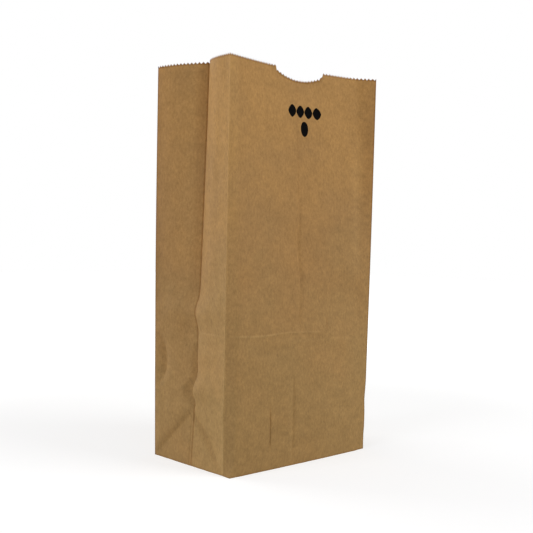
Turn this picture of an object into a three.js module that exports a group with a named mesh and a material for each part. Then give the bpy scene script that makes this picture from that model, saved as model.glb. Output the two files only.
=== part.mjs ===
// A brown kraft paper lunch bag: a square-bottomed, gusseted sack folded and glued from one
// sheet of paper, standing open on its base. Millimetres, +Z up. The origin is the middle of
// the base, the front panel faces -Y and +X is the bag's right.
import * as THREE from 'three';

// The sheet
const faceWidth = 133.35; // front and back panels, fold to fold
const gussetWidth = 82.55; // side gussets, and the base from front to back
const bagHeight = 277.8; // base to the tips of the teeth
const paper = 0.12; // one layer of kraft paper
const baseLayers = 3; // folded flaps that make the base
const seamLap = 16; // glued lap that closes the tube, down the back panel
const seamFromFold = 22; // free edge of the lap, from the back right fold
const seamStep = 0.4; // width over which the lap's free edge steps down

// The serrated mouth and the thumb notch
const toothPitch = 2.66;
const toothDepth = 1.4;
const notchWidth = 44;
const notchDepth = 7.9;
const notchFromMiddle = 1.8; // its middle lies this far to the right of the panel's
const notchEndDepth = 2.9; // the scoop is this deep where it meets the steep cut at each end
const notchLeftSlope = 8; // rise over run of those end cuts
const notchRightSlope = 1.5;

// Where the long folds stand at the base and at the mouth, from the base corner they rise from:
// [to the right, to the back]
const frontLeftFoot = [0.08, 7.88];
const frontLeftMouth = [1.28, 9.98];
const frontRightMouth = [0.1, -3.8];
const backRightMouth = [-3.2, -7.8];
const backLeftMouth = [-2.4, 1.2];

// Soft bends in the front panel beside its two folds, placed the same way
const leftBendFromFold = 9; // along the paper
const leftBendFoot = [-0.5, 0.2];
const leftBendMouth = [9.7, 11.3];
const leftBendSwing = 5.6; // how far the bend leaves the corner just above the base
const leftBendRise = 7; // height over which it does so
const rightBendFromFold = 12.8;
const rightBendFoot = [-11.2, -0.7];
const rightBendMouth = [-11.5, 4.3];

// How the panels are bowed: inwards is positive
const frontBowFoot = -0.8;
const frontBowMouth = 7;
const backBowMouth = 4.7;
const bowGrowth = 1.5; // the bow grows with this power of the height

// The slack of the long folds, halfway up
const rightFoldSlack = 0.7;
const leftFoldSlack = 0.75;
const foldDentReach = 8; // dents in the front folds, level with the top of the base triangles
const frontRightDent = 0.8;
const frontLeftDent = 1.1;

// The faint level fold all round, pressed in when the bag was packed flat
const pressedFoldHeight = 91;
const pressedFoldRidge = 0.35;
const pressedFoldReach = 6;

// The gussets: a crease pushed in between two folds, over a triangle that rises from the base.
// The triangle's sides are diagonal folds, so its top is half a gusset up, less a little sag.
const apexSag = 2.8;
const apexPush = 2.7; // its lean into the bag
const leftCreaseShare = 0.555; // where the crease is, as a share of the way from back to front
const leftCreasePush = 12.3; // at the mouth
const rightCreasePush = 13.7;
const creaseGrowth = 0.8; // the push grows with this power of the height over the apex
const leftBackBulge = 3.7; // outward swell of each half gusset at the mouth
const leftFrontBulge = 4.1;
const leftFrontSkew = 0.45; // the swell of this half leans towards the crease
const rightBulge = 3;
const popAbovePressedFold = 14.5; // the left crease pops out a little here
const popReach = 8.5;
const popOut = 4;

// How finely the sheet is faceted
const facePieces = 12;
const seamPieces = 2; // in the lap, and between it and its fold
const halfGussetPieces = 5;
const upperRows = 7; // between the pop of the left crease and the notch
const lastRowBelowNotch = 6;

const kraftBrown = 0x9a7749;

const nearlyZero = 1e-9;

const mix = (a, b, share) => a + (b - a) * share;
const mixPoints = (a, b, share) => [mix(a[0], b[0], share), mix(a[1], b[1], share)];
const hump = (value, middle, reach) => Math.exp(-(((value - middle) / reach) ** 2));
const arch = (share) => 4 * share * (1 - share);

const apexHeight = gussetWidth / 2 - apexSag;
const popHeight = pressedFoldHeight + popAbovePressedFold;

// Distances along the sheet, from the front left fold counter-clockwise seen from above
const rightGussetStart = faceWidth;
const backStart = faceWidth + gussetWidth;
const leftGussetStart = 2 * faceWidth + gussetWidth;
const sheetWidth = 2 * (faceWidth + gussetWidth);

// A point moved square to the line a-b by a distance into the bag, which lies left of that line
function inwards(point, a, b, distance) {
  const length = Math.hypot(b[0] - a[0], b[1] - a[1]);
  return [
    point[0] - ((b[1] - a[1]) / length) * distance,
    point[1] + ((b[0] - a[0]) / length) * distance,
  ];
}

// A corner of the base, given by the signs of x and y, and moved by an offset
function fromCorner(signX, signY, offset) {
  return [(signX * faceWidth) / 2 + offset[0], (signY * gussetWidth) / 2 + offset[1]];
}

// The folds and soft bends of the bag, as points of its plan at height z
function foldsAt(z) {
  const rise = z / bagHeight;
  const curl = rise ** bowGrowth;
  const slack = Math.sin(Math.PI * Math.min(rise, 1));
  const dent = hump(z, apexHeight, foldDentReach);
  const swing = leftBendSwing * (1 - Math.exp(-z / leftBendRise));
  const frontLeft = fromCorner(-1, -1, mixPoints(frontLeftFoot, frontLeftMouth, rise));
  const leftBend = fromCorner(-1, -1, [
    mix(leftBendFoot[0], leftBendMouth[0] - leftBendSwing, curl) + swing,
    mix(leftBendFoot[1], leftBendMouth[1], curl),
  ]);
  const rightBend = fromCorner(1, -1, mixPoints(rightBendFoot, rightBendMouth, curl));
  const frontRight = fromCorner(1, -1, mixPoints([0, 0], frontRightMouth, rise));
  const backRight = fromCorner(1, 1, mixPoints([0, 0], backRightMouth, rise));
  const backLeft = fromCorner(-1, 1, mixPoints([0, 0], backLeftMouth, rise));
  return {
    frontLeft: [frontLeft[0], frontLeft[1] + frontLeftDent * dent],
    leftBend,
    rightBend,
    frontRight: [frontRight[0] + rightFoldSlack * slack - frontRightDent * dent, frontRight[1]],
    backRight,
    backLeft: [
      backLeft[0] - leftFoldSlack * slack * Math.SQRT1_2,
      backLeft[1] + leftFoldSlack * slack * Math.SQRT1_2,
    ],
  };
}

function pressedRidge(z) {
  return pressedFoldRidge * hump(z, pressedFoldHeight, pressedFoldReach);
}

function frontPoint(along, z) {
  const { frontLeft, leftBend, rightBend, frontRight } = foldsAt(z);
  if (along <= leftBendFromFold) {
    return mixPoints(frontLeft, leftBend, along / leftBendFromFold);
  }
  const rightBendAt = faceWidth - rightBendFromFold;
  if (along >= rightBendAt) {
    return mixPoints(rightBend, frontRight, (along - rightBendAt) / rightBendFromFold);
  }
  const share = (along - leftBendFromFold) / (rightBendAt - leftBendFromFold);
  const bow = mix(frontBowFoot, frontBowMouth, (z / bagHeight) ** bowGrowth) - pressedRidge(z);
  const flat = mixPoints(leftBend, rightBend, share);
  return inwards(flat, leftBend, rightBend, bow * arch(share));
}

// The lap is one more layer on the outside, from its free edge on, and thins away behind it
function seamRelief(along) {
  const fromEdge = along - seamFromFold;
  if (fromEdge <= 0 || fromEdge >= seamLap) return 0;
  return paper * Math.min(fromEdge / seamStep, (seamLap - fromEdge) / (seamLap - seamStep));
}

function seamReliefAt(along) {
  return along < backStart || along >= leftGussetStart ? 0 : seamRelief(along - backStart);
}

function backPoint(along, z) {
  const { backRight, backLeft } = foldsAt(z);
  const share = along / faceWidth;
  const bow = backBowMouth * (z / bagHeight) ** bowGrowth - pressedRidge(z);
  const flat = mixPoints(backRight, backLeft, share);
  return inwards(flat, backRight, backLeft, bow * arch(share) - seamRelief(along));
}

// A gusset runs from fold a to fold b. Its crease is creaseShare of the way, pushed in by push.
// Under the diagonals from the crease to the base corners lies one flat, leaning triangle.
function gussetPoint(along, z, a, b, gusset) {
  const middle = gussetWidth / 2;
  const first = along <= middle;
  const fromFold = first ? along / middle : (gussetWidth - along) / middle;
  const fold = first ? a : b;
  const creaseFoot = mixPoints(a, b, gusset.creaseShare);
  const triangleLean = z < apexHeight ? (apexPush * z) / apexHeight : Infinity;
  const push = Math.min(gusset.push(z) * fromFold, triangleLean);
  const half = first ? gusset.firstHalf : gusset.secondHalf;
  const skew = 1 + half.skew * (2 * fromFold - 1);
  const bulge = half.bulge * (z / bagHeight) * skew + pressedRidge(z);
  return inwards(mixPoints(fold, creaseFoot, fromFold), a, b, push - bulge * arch(fromFold));
}

function creasePush(z, mouthPush) {
  const overApex = Math.max((z - apexHeight) / (bagHeight - apexHeight), 0);
  return mix(apexPush, mouthPush, overApex ** creaseGrowth);
}

const rightGusset = {
  creaseShare: 0.5,
  push: (z) => creasePush(z, rightCreasePush),
  firstHalf: { bulge: rightBulge, skew: 0 },
  secondHalf: { bulge: rightBulge, skew: 0 },
};

const leftGusset = {
  creaseShare: leftCreaseShare,
  push: (z) => creasePush(z, leftCreasePush) - popOut * hump(z, popHeight, popReach),
  firstHalf: { bulge: leftBackBulge, skew: 0 },
  secondHalf: { bulge: leftFrontBulge, skew: leftFrontSkew },
};

// The outside of the sheet in plan, at a distance along it and a height
function planPoint(along, z) {
  const { frontLeft, frontRight, backRight, backLeft } = foldsAt(z);
  if (along < rightGussetStart) return frontPoint(along, z);
  if (along < backStart) {
    return gussetPoint(along - rightGussetStart, z, frontRight, backRight, rightGusset);
  }
  if (along < leftGussetStart) return backPoint(along - backStart, z);
  return gussetPoint(along - leftGussetStart, z, backLeft, frontLeft, leftGusset);
}

// The mouth's cut, before its teeth: level, with a shallow scoop between two steep end cuts
function cutHeight(along) {
  const fromMiddle = along - faceWidth / 2 - notchFromMiddle;
  const toEnd = notchWidth / 2 - Math.abs(fromMiddle);
  if (toEnd <= 0) return bagHeight;
  const scoop = mix(notchDepth, notchEndDepth, (fromMiddle / (notchWidth / 2)) ** 2);
  return bagHeight - Math.min(scoop, toEnd * (fromMiddle < 0 ? notchLeftSlope : notchRightSlope));
}

// Evenly spaced distances along one panel, without its last one
function divide(start, width, pieces) {
  return Array.from({ length: pieces }, (_, i) => start + (width * i) / pieces);
}

// The stations of the body: each fold, soft bend and seam edge, and even steps between them
function bodyStations() {
  const betweenBends = faceWidth - leftBendFromFold - rightBendFromFold;
  const seamAt = backStart + seamFromFold;
  const seamEnd = seamAt + seamLap;
  return [
    0,
    ...divide(leftBendFromFold, betweenBends, facePieces),
    faceWidth - rightBendFromFold,
    ...divide(rightGussetStart, gussetWidth, 2 * halfGussetPieces),
    ...divide(backStart, seamFromFold, seamPieces),
    seamAt,
    ...divide(seamAt + seamStep, seamLap - seamStep, seamPieces),
    ...divide(seamEnd, leftGussetStart - seamEnd, facePieces),
    ...divide(leftGussetStart, gussetWidth, 2 * halfGussetPieces),
  ];
}

// The stations of the mouth: the tip and the root of every tooth, a whole number on each panel
function mouthStations() {
  const panels = [
    [0, faceWidth],
    [rightGussetStart, gussetWidth],
    [backStart, faceWidth],
    [leftGussetStart, gussetWidth],
  ];
  return panels.flatMap(([start, width]) => {
    const teeth = Math.round(width / toothPitch);
    return divide(start, width, 2 * teeth).map((along, i) => ({
      along,
      height: cutHeight(along) - (i % 2 === 0 ? 0 : toothDepth),
    }));
  });
}

// One ring round the bag: its outer points, and its inner ones a sheet's thickness inside
function makeRing(stations) {
  const plan = stations.map(({ along, height }) => planPoint(along, height));
  const count = plan.length;
  const sideNormal = (i) => {
    const a = plan[i % count];
    const b = plan[(i + 1) % count];
    const length = Math.hypot(b[0] - a[0], b[1] - a[1]);
    return [-(b[1] - a[1]) / length, (b[0] - a[0]) / length];
  };
  const inner = plan.map((point, i) => {
    const before = sideNormal(i + count - 1);
    const after = sideNormal(i);
    const mitre = (paper + seamReliefAt(stations[i].along))
      / (1 + before[0] * after[0] + before[1] * after[1]);
    return [
      point[0] + (before[0] + after[0]) * mitre,
      point[1] + (before[1] + after[1]) * mitre,
      stations[i].height,
    ];
  });
  const outer = plan.map((point, i) => [point[0], point[1], stations[i].height]);
  return { along: stations.map((station) => station.along), outer, inner };
}

// True where a diagonal fold of the gusset rises with the distance along the sheet
function foldRises(along) {
  const middle = gussetWidth / 2;
  const onRight = along >= rightGussetStart && along < rightGussetStart + middle;
  return onRight || (along >= leftGussetStart && along < leftGussetStart + middle);
}

// Triangles between two rings with stations of their own, as [ring, index] corners.
// Where both rings step together, the square is split along the gusset's diagonal fold.
function zip(lower, upper) {
  const triangles = [];
  const lowCount = lower.along.length;
  const highCount = upper.along.length;
  const next = (along, i) => (i + 1 < along.length ? along[i + 1] : sheetWidth);
  let low = 0;
  let high = 0;
  while (low < lowCount || high < highCount) {
    const lowNext = low < lowCount ? next(lower.along, low) : Infinity;
    const highNext = high < highCount ? next(upper.along, high) : Infinity;
    const together = Math.abs(lowNext - highNext) < nearlyZero;
    const takeHigh = together ? foldRises(lower.along[low]) : highNext < lowNext;
    if (takeHigh) {
      triangles.push([['low', low % lowCount], ['high', (high + 1) % highCount], ['high', high]]);
      high += 1;
    } else {
      triangles.push([['low', low], ['low', (low + 1) % lowCount], ['high', high % highCount]]);
      low += 1;
    }
  }
  return triangles;
}

// The whole bag as one closed sheet: outside, inside, the cut edge of the mouth and the base
function buildBag() {
  const bottomHeights = Array.from(
    { length: halfGussetPieces },
    (_, i) => (apexHeight * (i + 1)) / halfGussetPieces,
  );
  const belowFold = pressedFoldHeight - popReach;
  const abovePop = popHeight + popReach;
  const lastRow = bagHeight - notchDepth - lastRowBelowNotch;
  const levels = [
    0,
    ...bottomHeights,
    mix(apexHeight, belowFold, 0.5),
    belowFold,
    pressedFoldHeight,
    popHeight,
    ...divide(abovePop, lastRow - abovePop, upperRows),
    lastRow,
  ];
  const body = bodyStations();
  const level = (height) => makeRing(body.map((along) => ({ along, height })));
  const rings = [...levels.map(level), makeRing(mouthStations())];
  const floor = level(baseLayers * paper).inner;
  rings[0].inner = floor;

  const positions = [];
  const add = (...corners) => corners.forEach((corner) => positions.push(...corner));
  for (let i = 0; i + 1 < rings.length; i += 1) {
    const pick = (side, corner) => (corner[0] === 'low' ? rings[i] : rings[i + 1])[side][corner[1]];
    for (const [a, b, c] of zip(rings[i], rings[i + 1])) {
      add(pick('outer', a), pick('outer', b), pick('outer', c));
      add(pick('inner', a), pick('inner', c), pick('inner', b));
    }
  }

  const mouth = rings[rings.length - 1];
  mouth.outer.forEach((corner, i) => {
    const following = (i + 1) % mouth.outer.length;
    add(corner, mouth.outer[following], mouth.inner[following]);
    add(corner, mouth.inner[following], mouth.inner[i]);
  });

  const flatten = (ring) => ring.map(([x, y]) => new THREE.Vector2(x, y));
  const underside = rings[0].outer;
  for (const [a, b, c] of THREE.ShapeUtils.triangulateShape(flatten(underside), [])) {
    add(underside[a], underside[c], underside[b]);
  }
  for (const [a, b, c] of THREE.ShapeUtils.triangulateShape(flatten(floor), [])) {
    add(floor[a], floor[b], floor[c]);
  }

  const geometry = new THREE.BufferGeometry();
  geometry.setAttribute('position', new THREE.Float32BufferAttribute(positions, 3));
  geometry.computeVertexNormals();
  return geometry;
}

const kraftPaper = new THREE.MeshStandardMaterial({
  color: kraftBrown,
  roughness: 0.85,
  metalness: 0,
});

const bag = new THREE.Group();
const sheet = new THREE.Mesh(buildBag(), kraftPaper);
sheet.name = 'folded_paper_bag';
bag.add(sheet);

export default bag;
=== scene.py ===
import math

import bmesh
import bpy
import numpy as np
from mathutils import Matrix


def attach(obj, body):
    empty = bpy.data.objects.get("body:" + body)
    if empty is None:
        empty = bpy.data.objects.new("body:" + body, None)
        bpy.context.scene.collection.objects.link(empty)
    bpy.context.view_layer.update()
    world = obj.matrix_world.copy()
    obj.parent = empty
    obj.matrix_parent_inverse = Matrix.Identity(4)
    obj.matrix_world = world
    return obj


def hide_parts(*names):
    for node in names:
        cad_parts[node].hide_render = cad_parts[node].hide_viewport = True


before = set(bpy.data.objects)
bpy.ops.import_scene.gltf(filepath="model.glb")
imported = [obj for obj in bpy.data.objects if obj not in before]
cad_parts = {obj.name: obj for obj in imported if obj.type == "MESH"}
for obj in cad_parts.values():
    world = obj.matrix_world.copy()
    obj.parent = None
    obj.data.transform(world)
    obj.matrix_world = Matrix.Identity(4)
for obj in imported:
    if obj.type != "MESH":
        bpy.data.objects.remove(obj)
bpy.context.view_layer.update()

scene = bpy.context.scene
scene.view_settings.view_transform = "Standard"


# The bag itself: one sheet of unbleached kraft paper, folded into a gusseted tube, lapped and
# pasted down the back, and closed by a squared base of folded flaps. It stands open, its mouth
# cut with a serrated knife. Lengths in this section are millimetres until the mesh is made.

FACE_WIDTH = 133.35
GUSSET_WIDTH = 82.55
BAG_HEIGHT = 277.8
PAPER = 0.12
BASE_LAYERS = 3
BASE_FLAP = 46
SEAM_FROM_FOLD = 22
SEAM_LAP = 16
SEAM_STEP = 0.4
TEETH_PER_FACE = 50
TEETH_PER_GUSSET = 31
TOOTH_DEPTH = 1.4
NOTCH_WIDTH = 44
NOTCH_DEPTH = 7.9
NOTCH_FROM_MIDDLE = 1.8
NOTCH_END_DEPTH = 2.9
NOTCH_LEFT_SLOPE = 8
NOTCH_RIGHT_SLOPE = 1.5
CUT_EDGE = 2.2

GUSSET_MIDDLE = GUSSET_WIDTH / 2
APEX_HEIGHT = GUSSET_MIDDLE - 2.8
APEX_PUSH = 2.7
PRESSED_FOLD_HEIGHT = 91
POP_HEIGHT = PRESSED_FOLD_HEIGHT + 14.5
LEFT_BEND = 9
RIGHT_BEND = 12.8
SHORT_CREASE = 38
LOW_CREASE = 58.5
MIDDLE_FOLD = 65.3
NICK = 90.5
PLEAT = GUSSET_MIDDLE - 2.3

GUSSET_START = FACE_WIDTH
BACK_START = FACE_WIDTH + GUSSET_WIDTH
LEFT_START = 2 * FACE_WIDTH + GUSSET_WIDTH
SHEET_WIDTH = 2 * (FACE_WIDTH + GUSSET_WIDTH)
FOLDS = np.array([
    0, GUSSET_START, GUSSET_START + GUSSET_MIDDLE, BACK_START,
    LEFT_START, LEFT_START + GUSSET_MIDDLE, SHEET_WIDTH,
])


def mix(a, b, share):
    """The value a share of the way from a to b."""
    return a + (b - a) * share


def hump(value, middle, reach):
    """A bell curve: 1 at the middle, 0.37 at one reach from it."""
    return np.exp(-(((value - middle) / reach) ** 2))


def arch(share):
    """A parabola: 0 at share 0 and 1, and 1 between them."""
    return 4 * share * (1 - share)


def place(x, y):
    """Plan points with x and y in the last axis."""
    return np.stack(np.broadcast_arrays(x, y), axis=-1)


def inwards(point, a, b, distance):
    """The point moved square to the line a-b, into the bag, which lies on that line's left."""
    line = b - a
    length = np.linalg.norm(line, axis=-1, keepdims=True)
    normal = np.stack([-line[..., 1], line[..., 0]], axis=-1) / length
    return point + normal * np.asarray(distance)[..., None]


def folds_at(z):
    """The long folds and soft bends in plan at height z: straight lines from the base's corners
    to the mouth's, with a half-sine of slack, a dent level with the base triangles' tops, and
    bends that leave the base's edge along an exponential curve."""
    rise = z / BAG_HEIGHT
    curl = rise ** 1.5
    slack = np.sin(np.pi * np.clip(rise, 0, 1))
    dent = hump(z, APEX_HEIGHT, 8)
    swing = 5.6 * (1 - np.exp(-z / 7))
    half_face, half_depth = FACE_WIDTH / 2, GUSSET_WIDTH / 2
    left_slack = 0.75 * slack * math.sqrt(0.5)
    return {
        "front_left": place(
            mix(0.08, 1.28, rise) - half_face, mix(7.88, 9.98, rise) - half_depth + 1.1 * dent),
        "left_bend": place(
            mix(-0.5, 4.1, curl) + swing - half_face, mix(0.2, 11.3, curl) - half_depth),
        "right_bend": place(mix(-11.2, -11.5, curl) + half_face, mix(-0.7, 4.3, curl) - half_depth),
        "front_right": place(
            0.1 * rise + half_face + 0.7 * slack - 0.8 * dent, -3.8 * rise - half_depth),
        "back_right": place(-3.2 * rise + half_face, -7.8 * rise + half_depth),
        "back_left": place(
            -2.4 * rise - half_face - left_slack, 1.2 * rise + half_depth + left_slack),
    }


def pressed_ridge(z):
    """The faint level fold all round, as a bell-shaped ridge."""
    return 0.35 * hump(z, PRESSED_FOLD_HEIGHT, 6)


def front_panel(along, z, relief):
    """Front panel: straight from the left fold to the left bend and from the right bend to the
    right fold, and between the bends a parabola bowed into the bag more towards the mouth."""
    at = folds_at(z)
    right_bend_at = FACE_WIDTH - RIGHT_BEND
    by_left = mix(at["front_left"], at["left_bend"], (along / LEFT_BEND)[..., None])
    by_right = mix(
        at["right_bend"], at["front_right"], ((along - right_bend_at) / RIGHT_BEND)[..., None])
    share = (along - LEFT_BEND) / (right_bend_at - LEFT_BEND)
    bow = mix(-0.8, 7, (z / BAG_HEIGHT) ** 1.5) - pressed_ridge(z)
    between = mix(at["left_bend"], at["right_bend"], share[..., None])
    between = inwards(between, at["left_bend"], at["right_bend"], bow * arch(share))
    panel = np.where((along <= LEFT_BEND)[..., None], by_left, between)
    panel = np.where((along >= right_bend_at)[..., None], by_right, panel)
    return inwards(panel, at["front_left"], at["front_right"], relief)


def back_panel(along, z, relief):
    """Back panel: a parabola bowed into the bag, and over the pasted lap one more layer that
    steps down at its free edge and thins away behind it."""
    at = folds_at(z)
    share = along / FACE_WIDTH
    bow = 4.7 * (z / BAG_HEIGHT) ** 1.5 - pressed_ridge(z)
    from_edge = along - SEAM_FROM_FOLD
    lap = np.minimum(from_edge / SEAM_STEP, (SEAM_LAP - from_edge) / (SEAM_LAP - SEAM_STEP))
    lap = PAPER * np.clip(lap, 0, 1)
    flat = mix(at["back_right"], at["back_left"], share[..., None])
    return inwards(
        flat, at["back_right"], at["back_left"], bow * arch(share) - lap + relief)


def gusset(along, z, relief, a, b, crease_share, mouth_push, pop, bulges, skews):
    """A gusset between folds a and b: each half runs straight to a pushed-in crease, with a
    parabolic swell. Under the two diagonals that rise from the base corners to the crease, the
    push is that of one flat leaning triangle."""
    first = along <= GUSSET_MIDDLE
    from_fold = np.where(first, along, GUSSET_WIDTH - along) / GUSSET_MIDDLE
    foot = mix(a, b, crease_share)
    fold = np.where(first[..., None], a, b)
    over_apex = np.clip((z - APEX_HEIGHT) / (BAG_HEIGHT - APEX_HEIGHT), 0, None)
    push = mix(APEX_PUSH, mouth_push, over_apex ** 0.8) - pop * hump(z, POP_HEIGHT, 8.5)
    lean = np.where(z < APEX_HEIGHT, APEX_PUSH * z / APEX_HEIGHT, np.inf)
    push = np.minimum(push * from_fold, lean)
    skew = 1 + np.where(first, *skews) * (2 * from_fold - 1)
    bulge = np.where(first, *bulges) * (z / BAG_HEIGHT) * skew + pressed_ridge(z)
    flat = mix(fold, foot, from_fold[..., None])
    return inwards(flat, a, b, push - bulge * arch(from_fold) + relief)


def panel_at(along):
    """0 on the front panel, 1 on the right gusset, 2 on the back panel, 3 on the left gusset."""
    return np.searchsorted([GUSSET_START, BACK_START, LEFT_START], along, side="right")


def sheet_in_plan(along, z, relief):
    """Outside of the sheet in plan, for arrays of the distance along it, the height, and a small
    relief pressed into it."""
    at = folds_at(z)
    front = front_panel(along, z, relief)
    right = gusset(
        along - GUSSET_START, z, relief, at["front_right"], at["back_right"],
        crease_share=0.5, mouth_push=13.7, pop=0, bulges=(3, 3), skews=(0, 0))
    back = back_panel(along - BACK_START, z, relief)
    left = gusset(
        along - LEFT_START, z, relief, at["back_left"], at["front_left"],
        crease_share=0.555, mouth_push=12.3, pop=4, bulges=(3.7, 4.1), skews=(0, 0.45))
    return np.choose(panel_at(along)[..., None], [front, right, back, left])


def cut_height(along):
    """The mouth's cut without its teeth: level, with a parabolic scoop between two steep ends."""
    half = NOTCH_WIDTH / 2
    from_middle = along - FACE_WIDTH / 2 - NOTCH_FROM_MIDDLE
    scoop = mix(NOTCH_DEPTH, NOTCH_END_DEPTH, (from_middle / half) ** 2)
    slope = np.where(from_middle < 0, NOTCH_LEFT_SLOPE, NOTCH_RIGHT_SLOPE)
    return BAG_HEIGHT - np.clip(np.minimum(scoop, (half - np.abs(from_middle)) * slope), 0, None)


def waves(along, z, count, shortest, longest, seed):
    """A sum of sine waves with seeded random directions, lengths and phases, about 1 high."""
    draw = np.random.default_rng(seed)
    length = np.exp(draw.uniform(np.log(shortest), np.log(longest), count))
    heading = draw.uniform(0, np.pi, count)
    phase = draw.uniform(0, 2 * np.pi, count)
    total = np.zeros(np.broadcast(along, z).shape)
    for size, turn, start in zip(length, heading, phase):
        total += np.sin(2 * np.pi * (along * np.cos(turn) + z * np.sin(turn)) / size + start)
    return total / math.sqrt(count / 2)


def window(value, low, high, edge):
    """1 between low and high, falling in straight ramps to 0 one edge outside them."""
    return np.clip(np.minimum(value - low, high - value) / edge + 1, 0, 1)


def front_creases_and_painted_shading(s, z):
    """The front panel's creases and painted patches, as rows of shape, depth and tone: a
    bell-shaped or flat section cut to its length, how far it is pressed in, and how much paler
    (over 0) or darker it is painted. Most tones are painted shade in the grooves, and painted light
    and shade on broad patches where the light falls more or less. s is the distance from the
    panel's left fold."""
    middle_fold = MIDDLE_FOLD + 1.1 * np.sin(z / 9)
    upper = 91.5 + 0.5 * np.cos(s / 9)
    lower = 87.6 - 0.025 * s
    return [
        # Painted shade in the creases' grooves, and painted light beside the low crease.
        (hump(s, middle_fold, 1.5) * window(z, 104, 180, 14), 0.8, 0),
        (hump(s, middle_fold + 1.6, 1.9) * window(z, 100, 184, 10), 0.15, -0.01),
        (hump(s, MIDDLE_FOLD, 0.7) * window(z, 190, 266, 6), 0.05, -0.06),
        (hump(s, SHORT_CREASE, 0.6) * window(z, 18, 38, 7), 0.5, -0.2),
        (hump(s, LOW_CREASE, 1.6) * window(z, 14, 50, 12), 0.75, 0),
        (hump(s, LOW_CREASE + 0.8, 1.0) * window(z, 12, 55, 10), 0, -0.035),
        (hump(s, LOW_CREASE - 3, 2.4) * window(z, 14, 52, 12), 0, 0.025),
        (hump(s, NICK, 0.8) * window(z, 95, 101, 3), 0.2, -0.12),
        # Broad patches of painted light and shade, where the light falls more or less.
        (window(s, 126, FACE_WIDTH, 10) * window(z, 190, BAG_HEIGHT, 30), 0, -0.05),
        (window(s, 1, 8, 2), 0, 0.03),
        (window(s, 1, 8, 2) * window(z, 120, BAG_HEIGHT, 20), 0, 0.04),
        (hump(s, 70, 18) * window(z, 130, 230, 25), 0, -0.035),
        (hump(s, 120, 5) * window(z, 150, 210, 25), 0, 0.08),
        (hump(s, 129, 4) * window(z, 205, 240, 25), 0, -0.05),
        (window(s, 95, FACE_WIDTH, 15) * window(z, 0, 90, 30), 0, 0.035),
        (hump(s - 61, 0.8 * (137 - z), 1.6) * window(z, 124, 134, 5), 0.25, 0),
        # The level creases: pale lines, and a dark line of painted shade above the upper one.
        (hump(z, upper, 0.7) * window(s, 12, 82, 6), -0.25, 0.07),
        (hump(z, upper, 0.7) * window(s, 9, 40, 6), 0, 0.09),
        (hump(z, upper + 1.6, 0.9) * window(s, 8, 60, 12), 0, -0.04),
        (hump(z, lower, 0.9) * window(s, 45, 124, 8), -0.18, 0.05),
        (hump(s, 112, 13) * window(z, 30, 150, 25), -0.5, 0),
    ]


def over_diagonal(from_corner, z):
    """How far a point of a gusset lies over the diagonal of the base triangle, square to it.
    from_corner is its distance along the sheet from the base corner where the diagonal starts."""
    return (z * GUSSET_MIDDLE / APEX_HEIGHT - from_corner) * math.sqrt(0.5)


def gusset_creases_and_painted_shading(t, z):
    """The left gusset's creases and painted patches in the same form. t is the distance from its
    back fold. Most tones are painted shade and light: darker beside the diagonals, in the dent,
    hollow and pleat, and on the half by the back fold near that fold and near the crease; the other
    half is painted paler, most towards the base. The level creases carry pale lines."""
    first = t <= GUSSET_MIDDLE
    over_left = over_diagonal(t, z)
    over_right = over_diagonal(GUSSET_WIDTH - t, z)
    return [
        # Painted shade beside the back diagonal, in the dent, in the hollow's arm and on the back
        # half by its fold and the crease, with painted light between them.
        (hump(over_left, 1.6, 2.2) * window(z, 7, 36, 5) * first, 0, -0.05),
        (hump(t, 7, 3.5) * window(z, 64, 85, 8), 0, -0.08),
        (window(t, 38, GUSSET_MIDDLE, 6) * first * window(z, 128, BAG_HEIGHT, 14), 0, -0.075),
        (window(t, 38, GUSSET_MIDDLE, 6) * first * window(z, 225, BAG_HEIGHT, 15), 0, -0.045),
        (np.exp(-t / 8) * window(z, 105, BAG_HEIGHT, 25), 0, -0.2),
        (hump(t, 31, 6) * first * window(z, 128, BAG_HEIGHT, 14), 0, 0.035),
        (hump(t, 33, 5) * hump(z, 50, 6), 0, -0.09),
        # The front half painted paler, most towards the base and the front fold.
        (window(t, GUSSET_MIDDLE + 2, GUSSET_WIDTH, 4) * (1 - z / BAG_HEIGHT), 0, 0.1),
        (window(t, GUSSET_MIDDLE + 2, GUSSET_WIDTH, 4) * (t - 57) / 25, 0, 0.045),
        # Painted shade beside the front diagonal and in the pleat.
        (hump(over_right, -2.2, 2.2) * window(z, 3, 34, 4) * ~first, 0, -0.1),
        (hump(t, PLEAT, 0.8) * window(z, 3, 33, 3), 0.22, -0.09),
        # The level creases: pale lines, and a dark line of painted shade above the upper one.
        (hump(z, 91.5, 0.8) * window(t, 50, 76, 5), -0.15, 0.05),
        (hump(z, 93.2, 0.8) * window(t, 46, 72, 5), 0, -0.05),
        (hump(z, 79, 0.8) * window(t, 50, 76, 5), -0.1, 0.03),
    ]


def pressed(creases):
    """The creases' depths added up."""
    return sum(shape * depth for shape, depth, tone in creases)


def painted_shade_and_light(creases):
    """The creases' and patches' tones added up, mostly painted shade and painted light."""
    return sum(shape * tone for shape, depth, tone in creases)


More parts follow.
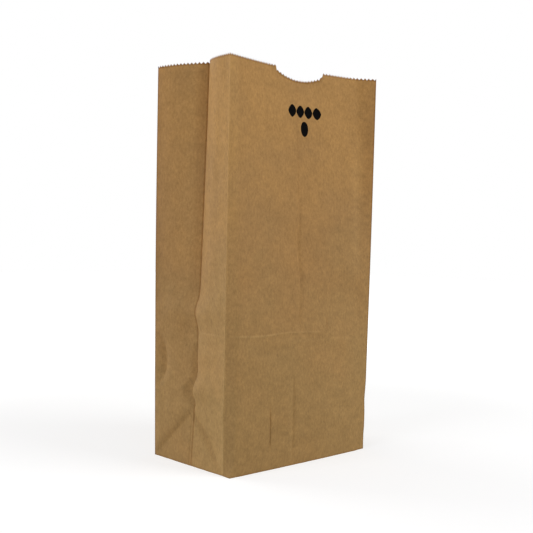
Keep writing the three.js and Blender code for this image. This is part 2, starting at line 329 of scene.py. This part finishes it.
def gusset_relief(t, z, dent, hollow, pop):
    """Dents and pleats of a gusset, pressed in. t is the distance from the back fold. The dent lies
    beside that fold, within half an ellipse, the hollow by the crease over the base triangle, and
    the pop is the bulge of the front half next to the hollow. A shallow bell-shaped dent lies by
    the level fold. Over the triangle's back diagonal the sheet swells out and dies away again, and
    along the front one runs a valley with straight sides."""
    dent_reach = 10.5 * np.sqrt(np.clip(1 - ((z - 70) / 19) ** 2, 0, None))
    past_dent = np.clip(t - dent_reach, 0, None)
    relief = dent * np.clip(t, 0, dent_reach) ** 1.5 / 3 * np.exp(-past_dent / 3.5)
    reach = 4.5 + 7 * hump(z, 51.5, 6)
    past_crease = t - GUSSET_MIDDLE
    from_crease = np.where(past_crease < 0, -past_crease / reach, past_crease / 2)
    relief += hollow * np.sqrt(reach) * np.clip(1 - from_crease, 0, 1) * window(z, 45, 79, 7)
    relief -= pop * hump(past_crease, 2, np.where(past_crease < 2, 4, 20)) * (
        hump(z, 52.5, 6.5) + 0.2 * hump(z, 78, 10))
    relief += 0.6 * hump(t, 32, 7) * hump(z, 93, 12)
    over_left = over_diagonal(t, z)
    side = np.clip(t / 6, 0, 1) * np.clip(-past_crease / 4, 0, 1)
    relief -= 1.15 * side * np.where(
        over_left > 0, (1 - np.exp(-over_left / 3)) * np.exp(-over_left / 20), 0)
    over_right = over_diagonal(GUSSET_WIDTH - t, z)
    tent = np.clip(1 - np.where(over_right > 0, over_right / 12, -over_right / 7), 0, 1)
    relief += 2.1 * tent * hump(z, 20, 12) * (past_crease > 0)
    return relief + pressed(gusset_creases_and_painted_shading(t, z))


def from_nearest_fold(along):
    """The distance along the sheet to the nearest long fold or gusset crease."""
    return np.min(np.abs(along[..., None] - FOLDS), axis=-1)


def handling_relief(along, z):
    """How far packing and handling have pressed the sheet in at each point, in millimetres."""
    from_fold = from_nearest_fold(along)
    slack = np.clip(from_fold / 12, 0, 1) * np.clip(z / 30, 0, 1)
    front = along < GUSSET_START
    broad = waves(along, z, count=14, shortest=22, longest=70, seed=3)
    small = waves(along, z, count=30, shortest=9, longest=20, seed=8)
    relief = np.where(front, 0.24, 0.14) * slack * broad
    relief += 0.07 * np.clip(from_fold / 5, 0, 1) * small
    right = (along >= GUSSET_START) & (along < BACK_START)
    left = along >= LEFT_START
    relief += np.where(front, pressed(front_creases_and_painted_shading(along, z)), 0)
    mild = gusset_relief(BACK_START - along, z, dent=0.08, hollow=0.4, pop=1.2)
    deep = gusset_relief(along - LEFT_START, z, dent=0.24, hollow=1.05, pop=4.1)
    return relief + np.where(right, mild, 0) + np.where(left, deep, 0)


def painted_light_and_wear(along, z):
    """How much paler (over 0) or darker (under 0) each point is painted than the sheet. The front
    left fold and some creases are paler. The other folds and creases, the fold round the base and
    the serrated cut are darker with painted shade, and the free edge of the pasted lap with a
    painted shadow line over its paste edge. The front's and the left gusset's tones are mostly
    painted shade and light."""
    from_fold = from_nearest_fold(along)
    front_left = (along < 2) | (along > SHEET_WIDTH - 2)
    # Along the folds: the front left one paler, the others darker with painted shade.
    tone = np.where(front_left, 0.13, -0.32) * hump(from_fold, 0, 0.7)
    # Painted shade along the fold round the base, where it meets the floor.
    tone -= 0.2 * hump(z, 0, 0.9)
    # Painted shade along the serrated cut, between its teeth.
    tone -= 0.58 * np.clip(2 - 2 * (cut_height(along) - z) / CUT_EDGE, 0, 1)
    # The free edge of the pasted lap: its paste edge, darkened with a painted shadow line.
    tone -= 0.17 * hump(along, BACK_START + SEAM_FROM_FOLD, 0.6)
    tone += np.where(along < GUSSET_START, painted_shade_and_light(front_creases_and_painted_shading(along, z)), 0)
    return tone + np.where(along >= LEFT_START, painted_shade_and_light(gusset_creases_and_painted_shading(along - LEFT_START, z)), 0)


# The grid follows the paper: a column at the tip and the root of every tooth and one close by
# each side of every fold and crease, rows that meet the gusset's diagonals, rows that crowd at
# the level creases, and rows that bend with the cut from BENDING_FROM up.
ROWS_OVER_APEX = 63
LOWEST_ROW = 0.3
BENDING_FROM = 230
FOLD_RADIUS = 0.4
FACE_CREASES = np.array([SHORT_CREASE, LOW_CREASE, MIDDLE_FOLD, NICK])
BESIDE_CREASE = 0.8
CREASE_ROWS = np.array([79, 85.5, 87, 88.5, 90, 90.7, 91.2, 91.7, 92.2, 92.8, 94])


def columns():
    """Distances along the sheet of the grid's columns."""
    face = np.arange(2 * TEETH_PER_FACE) * FACE_WIDTH / (2 * TEETH_PER_FACE)
    side = np.arange(2 * TEETH_PER_GUSSET) * GUSSET_WIDTH / (2 * TEETH_PER_GUSSET)
    teeth = [face, side + GUSSET_START, face + BACK_START, side + LEFT_START]
    beside = [FOLDS[:-1] + FOLD_RADIUS, FOLDS[1:] - FOLD_RADIUS]
    crease = np.concatenate([
        FACE_CREASES, LEFT_START - FACE_CREASES,
        [LEFT_START + PLEAT, BACK_START - PLEAT],
    ])
    notch_end = FACE_WIDTH / 2 + NOTCH_FROM_MIDDLE - NOTCH_WIDTH / 2 + np.array([0, 0.45])
    lap_edge = BACK_START + SEAM_FROM_FOLD + np.array([-0.7, 0, SEAM_STEP])
    cuts = np.concatenate([notch_end, lap_edge])
    cuts = [cuts, LEFT_START - cuts]
    creases = [crease - BESIDE_CREASE, crease, crease + BESIDE_CREASE]
    return np.sort(np.concatenate(teeth + beside + cuts + creases))


def tooth_drop(along):
    """How far the serrated cut lies under the tips of its teeth: a zigzag."""
    panel = panel_at(along)
    start = np.choose(panel, [0, GUSSET_START, BACK_START, LEFT_START])
    pitch = np.where(panel % 2 == 0, FACE_WIDTH / TEETH_PER_FACE, GUSSET_WIDTH / TEETH_PER_GUSSET)
    place_in_tooth = ((along - start) / pitch) % 1
    return TOOTH_DEPTH * (1 - np.abs(1 - 2 * place_in_tooth))


def heights(along):
    """Heights of the grid's points, a row of the array for each row of the grid."""
    under_apex = np.append(np.linspace(0, APEX_HEIGHT, TEETH_PER_GUSSET + 1), LOWEST_ROW)
    over_apex = np.linspace(APEX_HEIGHT, BAG_HEIGHT, ROWS_OVER_APEX + 1)[1:]
    under_cut = [BAG_HEIGHT - CUT_EDGE]
    level = np.sort(np.concatenate([under_apex, over_apex, CREASE_ROWS, under_cut]))[:, None]
    near_mouth = np.clip((level - BENDING_FROM) / (BAG_HEIGHT - BENDING_FROM), 0, 1) ** 2
    z = level - (BAG_HEIGHT - cut_height(along)) * near_mouth
    z[-1] -= tooth_drop(along)
    return z


def grid_normals(points):
    """Outward unit normals of a closed grid: the cross product of its two central differences."""
    across = np.roll(points, -1, axis=1) - np.roll(points, 1, axis=1)
    up = np.gradient(points, axis=0)
    normal = np.cross(across, up)
    return normal / np.linalg.norm(normal, axis=-1, keepdims=True)


def patch(ring, across, deep):
    """A surface filling a closed ring of points, by Coons' rule: the two ruled surfaces between
    opposite edges added, less the bilinear one through the corners."""
    front = ring[:across + 1]
    right = ring[across:across + deep + 1]
    back = ring[across + deep:2 * across + deep + 1][::-1]
    left = np.concatenate([ring[2 * across + deep:], ring[:1]])[::-1]
    u = np.linspace(0, 1, across + 1)[None, :, None]
    v = np.linspace(0, 1, deep + 1)[:, None, None]
    ruled_up = mix(front[None], back[None], v)
    ruled_across = mix(left[:, None], right[:, None], u)
    corners = mix(mix(front[0], front[-1], u), mix(back[0], back[-1], u), v)
    return ruled_up + ruled_across - corners


def squares(index, rising):
    """Two triangles for each square of an index grid, split along the diagonal that rises to the
    right where rising is true."""
    a, b = index[:-1, :-1], index[:-1, 1:]
    c, d = index[1:, 1:], index[1:, :-1]
    rising = np.broadcast_to(rising, a.shape)[..., None]
    one = np.where(rising, np.stack([a, b, c], -1), np.stack([a, b, d], -1))
    two = np.where(rising, np.stack([a, c, d], -1), np.stack([b, c, d], -1))
    return np.concatenate([one.reshape(-1, 3), two.reshape(-1, 3)])


def make_mesh(name, points, triangles):
    """A smooth-shaded mesh object from points in millimetres and triangles."""
    mesh = bpy.data.meshes.new(name)
    mesh.vertices.add(len(points))
    mesh.vertices.foreach_set("co", (points / 1000).astype(np.float32).ravel())
    mesh.loops.add(3 * len(triangles))
    mesh.loops.foreach_set("vertex_index", triangles.astype(np.int32).ravel())
    mesh.polygons.add(len(triangles))
    mesh.polygons.foreach_set("loop_start", np.arange(0, 3 * len(triangles), 3, dtype=np.int32))
    mesh.polygons.foreach_set("use_smooth", np.ones(len(triangles), dtype=bool))
    mesh.update(calc_edges=True)
    mesh.validate()
    piece = bpy.data.objects.new(name, mesh)
    scene.collection.objects.link(piece)
    return piece


def folded_base(x, y):
    """How far the base's underside lies above the floor. The outer flap lies on the floor, the
    inner one on it, and the gussets' ends on both. Each flap's ends run at 45 degrees."""
    from_front, from_back = y + GUSSET_WIDTH / 2, GUSSET_WIDTH / 2 - y
    from_end = FACE_WIDTH / 2 - np.abs(x)
    outer = (from_front < BASE_FLAP) & (from_end > from_front)
    inner = (from_back < BASE_FLAP) & (from_end > from_back)
    lift = PAPER * np.where(outer, 0, np.where(inner, 1, 2))
    lift[[0, -1]] = 0
    lift[:, [0, -1]] = 0
    return lift


def flap_edges(x, y):
    """The darker edges of the flaps that show from below: the outer one's straight edge, and a
    line at 45 degrees from each corner of the base."""
    from_front, from_end = y + GUSSET_WIDTH / 2, FACE_WIDTH / 2 - np.abs(x)
    from_side = np.where(from_front < BASE_FLAP, from_front, GUSSET_WIDTH - from_front)
    across = hump(from_front, BASE_FLAP, 0.9) * (from_end > from_side)
    return -0.25 * np.maximum(across, hump(from_end, from_side, 0.9))


UNDERSIDE_APART = 1000


def build_sheet():
    """Points, triangles and sheet coordinates of the whole bag: the outside grid, the inside one a
    paper's thickness behind it, the cut edge between them, and the base. A sheet coordinate is
    the distance along the sheet, the height and the painted tone, mostly painted shade and light
    with some wear. On the base it is x, y and the flaps' darker edges, with x moved
    UNDERSIDE_APART away, so that the fibres there aren't those of the walls."""
    along = columns()
    z = heights(along)
    grid_along = np.broadcast_to(along, z.shape)
    plan = sheet_in_plan(grid_along, z, handling_relief(grid_along, z))
    outside = np.concatenate([plan, z[..., None]], axis=-1)
    inside = outside - PAPER * grid_normals(outside)
    inside[0, :, 2] = BASE_LAYERS * PAPER
    rows, count = z.shape

    closed = np.arange(rows * count).reshape(rows, count)
    closed = np.concatenate([closed, closed[:, :1]], axis=1)
    rising = ((along >= GUSSET_START) & (along < GUSSET_START + GUSSET_MIDDLE)) | (
        (along >= LEFT_START) & (along < LEFT_START + GUSSET_MIDDLE))
    wall = squares(closed, rising)
    within = rows * count
    edge = np.stack([closed[-1], closed[-1] + within])

    across = np.searchsorted(along, GUSSET_START)
    deep = np.searchsorted(along, BACK_START) - across
    under = patch(outside[0], across, deep)
    under[..., 2] += folded_base(under[..., 0], under[..., 1])
    floor = patch(inside[0], across, deep)
    under_start = 2 * within
    cells = np.arange(under[..., 0].size).reshape(under.shape[:2])
    floor_start = under_start + cells.size
    base = squares(cells, True)

    points = np.concatenate([p.reshape(-1, 3) for p in (outside, inside, under, floor)])
    triangles = np.concatenate([
        wall, wall[:, ::-1] + within, squares(edge, True),
        base[:, ::-1] + under_start, base + floor_start,
    ])
    # The third coordinate is each point's painted shade and light, with some wear.
    wall_sheet = np.stack([grid_along, z, painted_light_and_wear(grid_along, z)], axis=-1).reshape(-1, 3)
    x, y = under[..., 0], under[..., 1]
    under_sheet = np.stack([x + UNDERSIDE_APART, y, flap_edges(x, y)], axis=-1).reshape(-1, 3)
    floor_sheet = under_sheet * [1, 1, 0]
    sheet = np.concatenate([wall_sheet, wall_sheet, under_sheet, floor_sheet])
    return points, triangles, sheet


def merge_close(piece, distance):
    """Joins points that lie within a distance in metres of each other, such as the base's border
    and the foot of the walls."""
    work = bmesh.new()
    work.from_mesh(piece.data)
    bmesh.ops.remove_doubles(work, verts=work.verts, dist=distance)
    work.to_mesh(piece.data)
    work.free()


points, triangles, sheet = build_sheet()
bag = make_mesh("kraft_paper_bag", points, triangles)
sheet_attribute = bag.data.attributes.new("sheet", "FLOAT_VECTOR", "POINT")
sheet_attribute.data.foreach_set("vector", sheet.astype(np.float32).ravel())
merge_close(bag, 1e-6)
SHARPEST_SMOOTH_BEND = 50
bag.data.set_sharp_from_angle(angle=math.radians(SHARPEST_SMOOTH_BEND))


def linear(hex_colour):
    """An sRGB hex colour as linear RGBA."""
    channels = [int(hex_colour[i:i + 2], 16) / 255 for i in (1, 3, 5)]
    return [c / 12.92 if c <= 0.04045 else ((c + 0.055) / 1.055) ** 2.4 for c in channels] + [1]


def new_material(name):
    """An empty node material, with its tree and output."""
    material = bpy.data.materials.new(name)
    material.use_nodes = True
    tree = material.node_tree
    tree.nodes.clear()
    return material, tree, tree.nodes.new("ShaderNodeOutputMaterial")


def add(tree, kind, links=None, **settings):
    """Adds a node with its settings. links gives its inputs, by name or number, a socket to be
    linked to or a value to keep."""
    node = tree.nodes.new("ShaderNode" + kind)
    for key, value in settings.items():
        setattr(node, key, value)
    for key, value in (links or {}).items():
        if isinstance(value, bpy.types.NodeSocket):
            tree.links.new(value, node.inputs[key])
        else:
            node.inputs[key].default_value = value
    return node


# Unbleached kraft paper: brown softwood pulp pressed on a machine, matte, with a fine mottle of
# fibres and soft clouds that are warmer or more olive, and warmer towards the mouth. The fibres
# are 3 mm long and 0.03 mm wide; they are drawn 1 mm wide so that they show. The sheet's third
# coordinate brings painted shade and light, with some wear; where it paints darker the paper is
# redder as well, and where it paints paler, bluer.
kraft, tree, output = new_material("unbleached_kraft_paper")
on_sheet = add(tree, "Attribute", attribute_name="sheet").outputs["Vector"]
apart = add(tree, "SeparateXYZ", {0: on_sheet})
flat = add(tree, "CombineXYZ", {0: apart.outputs[0], 1: apart.outputs[1]}).outputs[0]
grain_way = add(tree, "VectorMath", {0: flat, 1: (1, 0.5, 1)}, operation="MULTIPLY").outputs[0]
fibres = add(tree, "TexNoise", {"Vector": grain_way, "Scale": 1 / 1.5, "Detail": 3,
                                "Roughness": 0.75}).outputs["Fac"]
mottle = add(tree, "TexNoise", {"Vector": flat, "Scale": 1 / 7, "Detail": 4,
                                "Roughness": 0.65}).outputs["Fac"]
clouds = add(tree, "TexNoise", {"Vector": flat, "Scale": 1 / 45, "Detail": 3}).outputs["Fac"]
climb = add(tree, "MapRange", {"Value": apart.outputs[1], "From Min": 40, "From Max": 240,
                               "To Min": 0.17, "To Max": 0.5})
warmth = add(tree, "Math", {0: clouds, 1: 0.35, 2: climb.outputs[0]}, operation="MULTIPLY_ADD")
hue = add(tree, "ValToRGB", {"Fac": warmth.outputs[0]})
hue.color_ramp.elements[0].position = 0.35
hue.color_ramp.elements[0].color = linear("#997848")
hue.color_ramp.elements.new(0.53).color = linear("#9a7545")
hue.color_ramp.elements[-1].position = 0.68
hue.color_ramp.elements[-1].color = linear("#a27a45")
fine_tone = add(tree, "MapRange", {"Value": fibres, "From Min": 0.3, "From Max": 0.7,
                                   "To Min": 0.83, "To Max": 1.17})
soft_tone = add(tree, "MapRange", {"Value": mottle, "From Min": 0.3, "From Max": 0.7,
                                   "To Min": 0.9, "To Max": 1.1})
broad_tone = add(tree, "MapRange", {"Value": clouds, "From Min": 0.3, "From Max": 0.7,
                                    "To Min": 0.97, "To Max": 1.03})
tone = add(tree, "Math", {0: fine_tone.outputs[0], 1: soft_tone.outputs[0]},
           operation="MULTIPLY").outputs[0]
tone = add(tree, "Math", {0: tone, 1: broad_tone.outputs[0]}, operation="MULTIPLY").outputs[0]
# Painted shade and light from the sheet's third coordinate, with some wear: darker and redder, or
# paler.
shade_light_and_wear = add(tree, "CombineXYZ", {i: apart.outputs[2] for i in range(3)}).outputs[0]
shade_light_and_wear = add(tree, "VectorMath", {0: shade_light_and_wear, 1: (1, 1.3, 1.7), 2: (1, 1, 1)},
           operation="MULTIPLY_ADD").outputs[0]
shade_light_and_wear = add(tree, "VectorMath", {0: shade_light_and_wear, "Scale": tone}, operation="SCALE").outputs[0]
colour = add(tree, "VectorMath", {0: hue.outputs["Color"], 1: shade_light_and_wear}, operation="MULTIPLY")
pulp = add(tree, "Bump", {"Height": fibres, "Strength": 0.3, "Distance": 0.00015})
shader = add(tree, "BsdfPrincipled", {
    "Base Color": colour.outputs[0], "Roughness": 0.75, "Normal": pulp.outputs["Normal"],
    "Specular IOR Level": 0.2,
})
tree.links.new(shader.outputs[0], output.inputs["Surface"])
bag.data.materials.append(kraft)
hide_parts("folded_paper_bag")
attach(bag, "root")


# The printed mark: black flexographic ink on the front panel, near the mouth. It is a plain device
# of four lozenges over one upright oval, each a thin closed skin that follows the paper.

INK_HEIGHT = 0.09
INK_ROOT = 0.03
INK_BACK = 1.5 * INK_ROOT
RIM_POINTS = 96
RINGS = 12
MARK_MIDDLE = 72.3
LOZENGES = 4
LOZENGE_PITCH = 7.6
LOZENGE_LEVEL = 247.4
OVAL_LEVEL = 235.3


def ink_skin(middle, half_size, power):
    """Points and triangles of one ink shape in millimetres. Its outline is a superellipse
    |s/a|^power + |z/b|^power = 1 on the sheet, filled with rings shrunk towards its middle. The
    front stands INK_HEIGHT proud of the paper, the border lies INK_ROOT in it and the back
    INK_BACK."""
    turn = np.linspace(0, 2 * np.pi, RIM_POINTS, endpoint=False)
    c, d = np.cos(turn), np.sin(turn)
    reach = (np.abs(c) ** power + np.abs(d) ** power) ** (-1 / power)
    shrink = np.linspace(1, 0, RINGS + 1)[:-1, None]
    s = middle[0] + half_size[0] * shrink * reach * c
    z = middle[1] + half_size[1] * shrink * reach * d
    s = np.append(s.ravel(), middle[0])
    z = np.append(z.ravel(), middle[1])
    relief = handling_relief(s, z)
    proud = np.full(s.shape, -INK_HEIGHT)
    proud[:RIM_POINTS] = INK_ROOT
    front = np.append(sheet_in_plan(s, z, relief + proud), z[:, None], axis=1)
    back = np.append(sheet_in_plan(s, z, relief + INK_BACK), z[:, None], axis=1)
    back[:RIM_POINTS] = front[:RIM_POINTS]
    rings = np.arange(RINGS * RIM_POINTS).reshape(RINGS, RIM_POINTS)
    rings = np.concatenate([rings, rings[:, :1]], axis=1)
    skin = squares(rings, True)
    tip = np.stack([rings[-1, :-1], rings[-1, 1:], np.full(RIM_POINTS, s.size - 1)], axis=1)
    half = np.concatenate([skin, tip])
    return np.concatenate([front, back]), np.concatenate([half, half[:, ::-1] + s.size])


lozenge_places = MARK_MIDDLE + LOZENGE_PITCH * (np.arange(LOZENGES) - (LOZENGES - 1) / 2)
skins = [
    ink_skin((across, LOZENGE_LEVEL), half_size=(3.75, 4.5), power=1.55)
    for across in lozenge_places
]
skins.append(ink_skin((MARK_MIDDLE, OVAL_LEVEL), half_size=(3.5, 5.6), power=2.0))
ink_points, ink_triangles = [], []
for skin_points, skin_triangles in skins:
    ink_triangles.append(skin_triangles + sum(len(p) for p in ink_points))
    ink_points.append(skin_points)
mark = make_mesh("printed_mark", np.concatenate(ink_points), np.concatenate(ink_triangles))
merge_close(mark, 1e-7)

# Black carbon ink soaked into the fibres: nearly matte, a little browner where it lies thin.
ink, tree, output = new_material("black_flexographic_ink")
spread = add(tree, "TexCoord").outputs["Object"]
thin = add(tree, "TexNoise", {"Vector": spread, "Scale": 900, "Detail": 2}).outputs["Fac"]
shade = add(tree, "ValToRGB", {"Fac": thin})
shade.color_ramp.elements[0].position = 0.4
shade.color_ramp.elements[0].color = linear("#020202")
shade.color_ramp.elements[1].position = 0.8
shade.color_ramp.elements[1].color = linear("#0b0907")
shader = add(tree, "BsdfPrincipled", {"Base Color": shade.outputs["Color"], "Roughness": 0.8,
                                      "Specular IOR Level": 0.03})
tree.links.new(shader.outputs[0], output.inputs["Surface"])
mark.data.materials.append(ink)
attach(mark, "root")


# The studio: a white floor and world that the camera sees as plain white, three large soft lamps
# round the bag, the left one a little cooler and the one behind it a little warmer, and the camera
# where the photograph was taken. Lengths in this section are metres.

# The floor keeps a soft shadow near the bag and fades to plain white away from it.
FLOOR_SIZE = 6.0
floor_mesh = bpy.data.meshes.new("floor")
half = FLOOR_SIZE / 2
floor_mesh.from_pydata([(-half, -half, 0), (half, -half, 0), (half, half, 0), (-half, half, 0)],
                       [], [(0, 1, 2, 3)])
floor = bpy.data.objects.new("floor", floor_mesh)
scene.collection.objects.link(floor)


def seen_directly(tree):
    """1 for camera, glossy and transmission rays, which are to see the white background."""
    path = add(tree, "LightPath")
    both = add(tree, "Math", {0: path.outputs["Is Camera Ray"], 1: path.outputs["Is Glossy Ray"]},
               operation="MAXIMUM")
    return add(tree, "Math", {0: both.outputs[0], 1: path.outputs["Is Transmission Ray"]},
               operation="MAXIMUM").outputs[0]


white, tree, output = new_material("white_studio_floor")
matte = add(tree, "BsdfDiffuse", {"Color": linear("#b8b8b8")})
spot = add(tree, "TexCoord").outputs["Object"]
away = add(tree, "VectorMath", {0: spot}, operation="LENGTH").outputs["Value"]
glow = add(tree, "MapRange", {"Value": away, "From Min": 0.25, "From Max": 0.8,
                              "To Min": 0.6, "To Max": 1.0}, interpolation_type="SMOOTHSTEP")
glowing = add(tree, "Emission", {"Color": (1, 1, 1, 1), "Strength": glow.outputs[0]})
lit = add(tree, "AddShader", {0: matte.outputs[0], 1: glowing.outputs[0]})
chosen = add(tree, "MixShader", {0: seen_directly(tree), 1: matte.outputs[0], 2: lit.outputs[0]})
tree.links.new(chosen.outputs[0], output.inputs["Surface"])
floor_mesh.materials.append(white)

# The world lights the bag weakly and evenly, and is seen directly as plain white.
world = bpy.data.worlds.new("white_studio")
scene.world = world
world.use_nodes = True
tree = world.node_tree
tree.nodes.clear()
output = tree.nodes.new("ShaderNodeOutputWorld")
fill = add(tree, "Background", {"Color": (1, 1, 1, 1), "Strength": 0.3})
plain = add(tree, "Background", {"Color": (1, 1, 1, 1), "Strength": 1.0})
chosen = add(tree, "MixShader", {0: seen_directly(tree), 1: fill.outputs[0], 2: plain.outputs[0]})
tree.links.new(chosen.outputs[0], output.inputs["Surface"])


LAMP_DISTANCE = 1.4
LAMP_SIZE = 0.9


def standing(axes, at):
    """The matrix that turns an object to three axes and moves it to a place in metres."""
    return Matrix([[*row, shift] for row, shift in zip(np.stack(axes, 1), at)] + [[0, 0, 0, 1]])


def softbox(name, toward, elevation, power, colour=(1, 1, 1)):
    """A square area lamp facing the middle of the bag. toward is its direction in plan, and
    elevation is in degrees."""
    aim = np.array([0, 0, BAG_HEIGHT / 2000])
    rise = math.radians(elevation)
    plan = np.array(toward) / np.linalg.norm(toward) * math.cos(rise)
    back = np.array([plan[0], plan[1], math.sin(rise)])
    lamp = bpy.data.lights.new(name, "AREA")
    lamp.size = LAMP_SIZE
    lamp.energy = power
    lamp.color = colour
    holder = bpy.data.objects.new(name, lamp)
    right = np.cross([0, 0, 1], back)
    right /= np.linalg.norm(right)
    up = np.cross(back, right)
    holder.matrix_world = standing((right, up, back), aim + LAMP_DISTANCE * back)
    holder.visible_camera = False
    scene.collection.objects.link(holder)


softbox("left_softbox", (-0.98, -0.03), elevation=15, power=9.7, colour=(0.97, 0.99, 1.06))
softbox("right_softbox", (0.5, -0.87), elevation=22, power=13.9)
softbox("back_softbox", (-0.28, 0.96), elevation=15, power=11.0, colour=(1.0, 0.98, 0.94))

# The photograph's view: pixels for its 533 by 533 frame, and angles in degrees.
PHOTO_WIDTH = 533
FOCAL_PIXELS = 863.25
CAMERA_TURN, CAMERA_PITCH, CAMERA_ROLL = 43.463, 1.575, 1.238
CAMERA_PLACE = (-0.435669, -0.460634, 0.154091)


def camera_axes(turn, pitch, roll):
    """The camera's right, up and backward axes: it looks along +Y, turned towards +X, pitched
    down and rolled."""
    forward = np.array([math.sin(turn) * math.cos(pitch), math.cos(turn) * math.cos(pitch),
                        -math.sin(pitch)])
    level = np.array([math.cos(turn), -math.sin(turn), 0])
    upright = np.cross(level, forward)
    right = math.cos(roll) * level + math.sin(roll) * upright
    up = math.cos(roll) * upright - math.sin(roll) * level
    return right, up, -forward


lens = bpy.data.cameras.new("camera")
lens.sensor_width = 36
lens.lens = FOCAL_PIXELS / PHOTO_WIDTH * lens.sensor_width
lens.clip_start = 0.01
camera = bpy.data.objects.new("camera", lens)
axes = camera_axes(*(math.radians(a) for a in (CAMERA_TURN, CAMERA_PITCH, CAMERA_ROLL)))
camera.matrix_world = standing(axes, CAMERA_PLACE)
scene.collection.objects.link(camera)
scene.camera = camera
